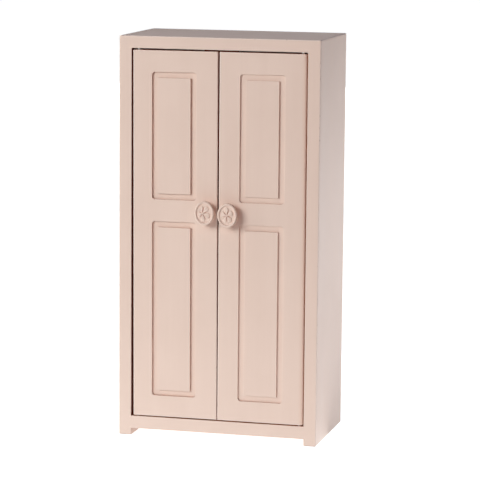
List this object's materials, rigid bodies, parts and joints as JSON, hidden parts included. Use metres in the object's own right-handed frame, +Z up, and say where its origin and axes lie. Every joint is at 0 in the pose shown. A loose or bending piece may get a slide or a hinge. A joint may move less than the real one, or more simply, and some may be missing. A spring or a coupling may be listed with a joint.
{
  "type": "miniature wardrobe",
  "caption": "Toy wardrobe with inset panelled doors that swing on pins, round-faced knobs, a clothes rail and side boards that reach the floor as feet.",
  "frame": {"origin": "on the floor under the middle of the whole wardrobe, midway between the sides and midway between the knobs' faces and the back", "axes": "+Z up, +X to the wardrobe's right as seen from the front, +Y from the doors to the back"},
  "size_m": [0.104, 0.066, 0.205],
  "materials": {
    "painted_wood": "satin powder-pink paint",
    "back_panel_board": "thin board, matt paint",
    "bare_beech": "bare beech",
    "steel": "zinc-plated",
    "magnet": "nickel-plated"
  },
  "bodies": {
    "carcass": {"left_side": "painted_wood", "right_side": "painted_wood", "top_board": "painted_wood", "bottom_board": "painted_wood", "back_panel": "back_panel_board", "back_panel_brads": "steel", "carcass_dowels": "bare_beech", "clothes_rail": "bare_beech", "door_stop": "painted_wood", "left_magnet": "magnet", "right_magnet": "magnet", "left_upper_pivot_pin": "steel", "left_lower_pivot_pin": "steel", "right_upper_pivot_pin": "steel", "right_lower_pivot_pin": "steel"},
    "left_door": {"left_door": "painted_wood", "left_knob": "painted_wood", "left_knob_screw": "steel", "left_catch_disc": "steel"},
    "right_door": {"right_door": "painted_wood", "right_knob": "painted_wood", "right_knob_screw": "steel", "right_catch_disc": "steel"}
  },
  "joints": [
    {"name": "left_door_hinge", "type": "hinge", "parent": "carcass", "child": "left_door", "pos_m": [-0.0421, -0.025, 0.0105], "axis": [0, 0, -1], "range_deg": [0, 100]},
    {"name": "right_door_hinge", "type": "hinge", "parent": "carcass", "child": "right_door", "pos_m": [0.0427, -0.025, 0.0105], "axis": [0, 0, 1], "range_deg": [0, 100]}
  ]
}
